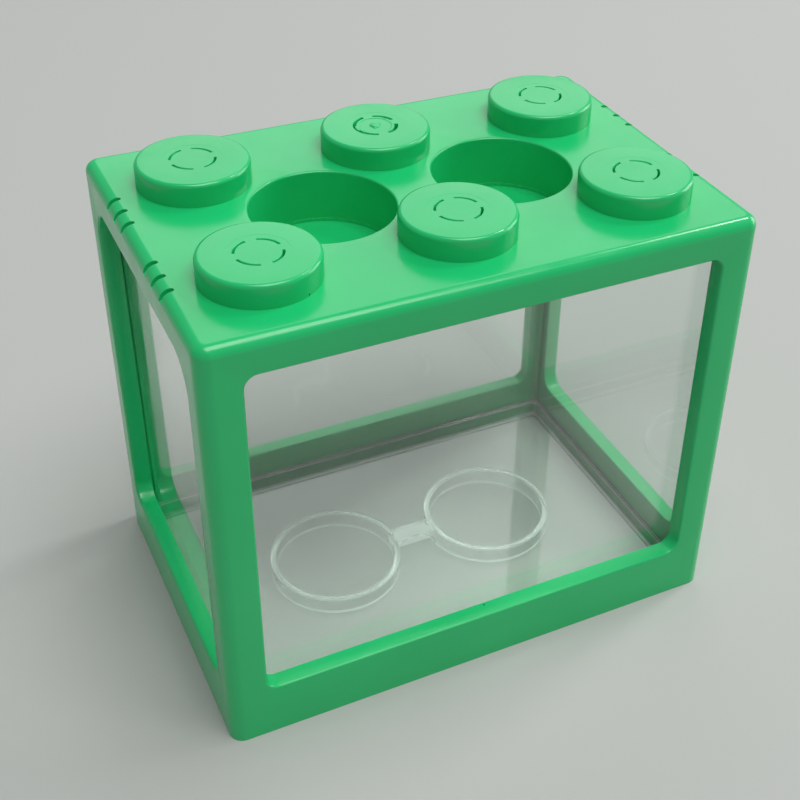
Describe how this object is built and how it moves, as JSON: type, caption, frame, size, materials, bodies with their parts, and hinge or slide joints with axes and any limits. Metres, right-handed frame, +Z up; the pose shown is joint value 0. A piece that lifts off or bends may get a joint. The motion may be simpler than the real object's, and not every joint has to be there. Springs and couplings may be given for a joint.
{
  "type": "stackable fish tank",
  "caption": "Small stackable fish tank: a studded green frame with windows on all sides that lifts off a clear open-topped tank.",
  "frame": {"origin": "middle of the rest plane, under the centre of the tank", "axes": "+X along the long front face to the right, +Y from the front face to the back, +Z up"},
  "size_m": [0.122, 0.082, 0.109],
  "materials": {
    "clear": "clear polished polystyrene",
    "green": "glossy injection moulded"
  },
  "bodies": {
    "tank": {"clear_tank": "clear"},
    "frame": {"frame": "green"}
  },
  "joints": [
    {"name": "frame_lift", "type": "slide", "parent": "tank", "child": "frame", "axis": [0, 0, 1], "range_m": [0, 0.105]}
  ]
}
